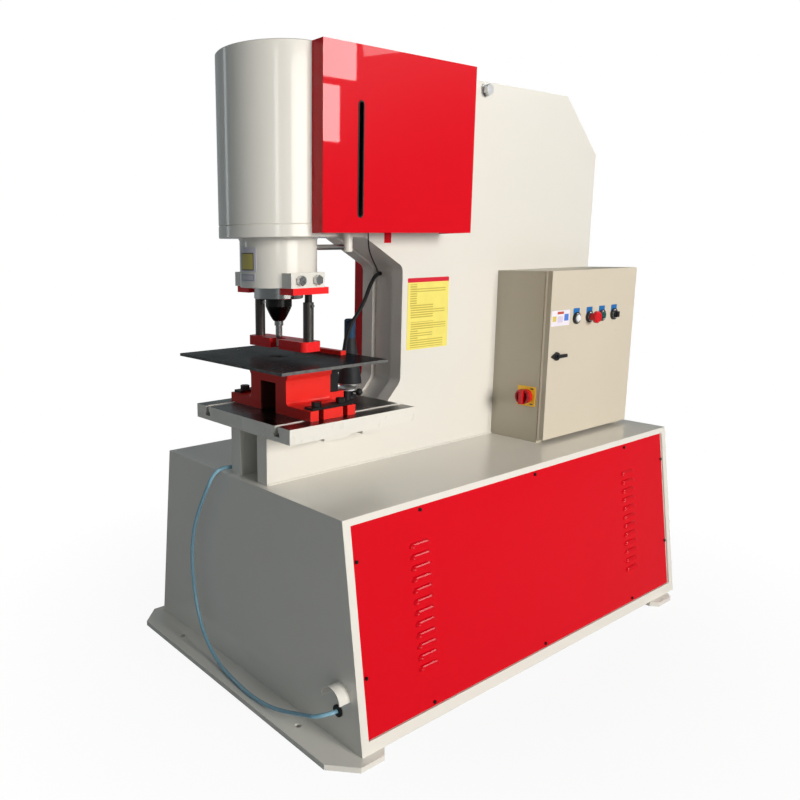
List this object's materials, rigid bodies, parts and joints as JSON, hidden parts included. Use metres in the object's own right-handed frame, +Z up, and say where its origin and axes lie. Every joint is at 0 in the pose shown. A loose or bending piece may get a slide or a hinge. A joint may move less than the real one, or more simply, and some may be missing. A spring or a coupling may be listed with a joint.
{
  "type": "hydraulic punching machine",
  "caption": "Free-standing hydraulic punching machine: a C-frame with an upright cylinder, punch, die and stripper over a slotted table, on a louvred base with a control cabinet.",
  "frame": {"origin": "on the floor, at the middle of the machine's footprint", "axes": "+X to the operator's right, +Y from the operator to the back of the machine, +Z up"},
  "size_m": [1.046, 1.64, 1.757],
  "materials": {
    "cream_paint": "gloss paint",
    "red_paint": "gloss paint",
    "beige_paint": "satin powder coat",
    "bright_steel": "machined",
    "black_steel": "black oxide",
    "table_steel": "ground, oiled",
    "chrome_trim": "polished",
    "black_plastic": "fine grain",
    "red_plastic": "moulded",
    "yellow_plastic": "moulded",
    "white_plastic": "moulded",
    "green_plastic": "moulded",
    "navy_plastic": "moulded",
    "black_rubber": "matte",
    "hose_blue": "clear tint",
    "motor_alloy": "cast"
  },
  "bodies": {
    "machine": {"base_housing": "cream_paint", "front_foot": "cream_paint", "rear_foot": "cream_paint", "right_panel": "red_paint", "left_panel": "red_paint", "panel_screws": "black_steel", "frame_right_plate": "cream_paint", "frame_left_plate": "cream_paint", "throat_web": "cream_paint", "frame_back_plate": "cream_paint", "tie_bolt": "bright_steel", "table": "table_steel", "table_supports": "cream_paint", "die_holder": "red_paint", "die": "bright_steel", "clamp_strips": "black_steel", "clamp_bolts": "black_steel", "support_plate": "table_steel", "back_gauge": "red_paint", "stripper_studs": "black_steel", "carrier_bars": "red_paint", "rod_head": "cream_paint", "head_bolts": "bright_steel", "barrel": "cream_paint", "barrel_cap": "cream_paint", "pressure_pipe": "bright_steel", "pipe_elbow": "cream_paint", "stroke_cover": "red_paint", "limit_switches": "black_plastic", "left_cover": "red_paint", "cabinet_body": "beige_paint", "door_hinges": "bright_steel", "mounting_plate": "bright_steel", "contactors": "black_plastic", "switch_plate": "yellow_plastic", "lamp_shade": "navy_plastic", "lamp_bezel": "chrome_trim", "lamp_foot": "black_plastic", "lamp_conduit": "black_rubber", "blue_hose": "hose_blue", "switch_cable": "black_rubber", "hose_fittings": "black_rubber", "cable_shroud": "cream_paint", "oil_tank": "cream_paint", "pump_motor": "motor_alloy"},
    "ram": {"ram": "bright_steel", "piston": "bright_steel", "coupling_nut": "black_steel", "punch": "bright_steel"},
    "stripper": {"stripper_plate": "red_paint", "stripper_sleeves": "black_steel", "sleeve_screws": "bright_steel"},
    "door": {"cabinet_door": "beige_paint", "button_bezels": "black_plastic"},
    "lock": {"door_lock": "black_plastic"},
    "white_push": {"white_button": "white_plastic"},
    "stop_push": {"stop_button": "red_plastic"},
    "green_push": {"green_button": "green_plastic"},
    "selector": {"selector_knob": "black_plastic"},
    "main_switch": {"switch_knob": "red_plastic"}
  },
  "joints": [
    {"name": "ram_slide", "type": "slide", "parent": "machine", "child": "ram", "axis": [0, 0, -1], "range_m": [-0.02, 0.04]},
    {"name": "stripper_slide", "type": "slide", "parent": "machine", "child": "stripper", "axis": [0, 0, 1], "range_m": [-0.02, 0.01]},
    {"name": "door_hinge", "type": "hinge", "parent": "machine", "child": "door", "pos_m": [0.279, 0.786, 0.896], "axis": [0, 0, 1], "range_deg": [0, 110]},
    {"name": "lock_turn", "type": "hinge", "parent": "door", "child": "lock", "pos_m": [0.291, 0.315, 0.897], "axis": [1, 0, 0], "range_deg": [0, 90]},
    {"name": "white_press", "type": "slide", "parent": "door", "child": "white_push", "axis": [-1, 0, 0], "range_m": [0, 0.004], "stiffness_N_per_m": 900},
    {"name": "stop_press", "type": "slide", "parent": "door", "child": "stop_push", "axis": [-1, 0, 0], "range_m": [0, 0.005]},
    {"name": "green_press", "type": "slide", "parent": "door", "child": "green_push", "axis": [-1, 0, 0], "range_m": [0, 0.004], "stiffness_N_per_m": 900},
    {"name": "selector_turn", "type": "hinge", "parent": "door", "child": "selector", "pos_m": [0.291, 0.646, 1.015], "axis": [1, 0, 0], "range_deg": [-45, 45]},
    {"name": "main_switch_turn", "type": "hinge", "parent": "machine", "child": "main_switch", "pos_m": [0.221, 0.272, 0.761], "axis": [0, -1, 0], "range_deg": [0, 90]}
  ]
}
